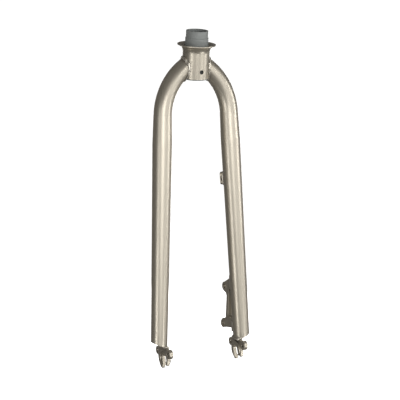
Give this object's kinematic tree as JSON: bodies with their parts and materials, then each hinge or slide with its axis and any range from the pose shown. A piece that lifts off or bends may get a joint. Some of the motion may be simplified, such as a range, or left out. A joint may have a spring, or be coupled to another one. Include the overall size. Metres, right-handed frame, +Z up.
{
  "type": "bicycle fork",
  "caption": "Rigid disc-brake bicycle fork: two curved blades welded to a flared crown tube, short steerer stub, slotted dropouts with eyelets.",
  "frame": {"origin": "on the steerer axis, at the top plane of the crown flange where the crown race sits", "axes": "+X forward, +Y to the rider's left, +Z up along the steerer"},
  "size_m": [0.0993, 0.1422, 0.4326],
  "materials": {
    "paint": "satin",
    "bare": "matt"
  },
  "bodies": {
    "root": {"steerer_tube": "bare", "crown_tube": "paint", "left_blade": "paint", "right_blade": "paint", "left_tip_cap": "paint", "right_tip_cap": "paint", "left_dropout": "paint", "right_dropout": "paint", "disc_tab": "paint", "hose_guide": "paint", "left_crown_weld": "paint", "right_crown_weld": "paint", "left_dropout_weld": "paint", "right_dropout_weld": "paint", "disc_weld_upper": "paint", "disc_weld_lower": "paint", "hose_guide_weld": "paint", "steerer_weld": "bare"}
  },
  "joints": []
}
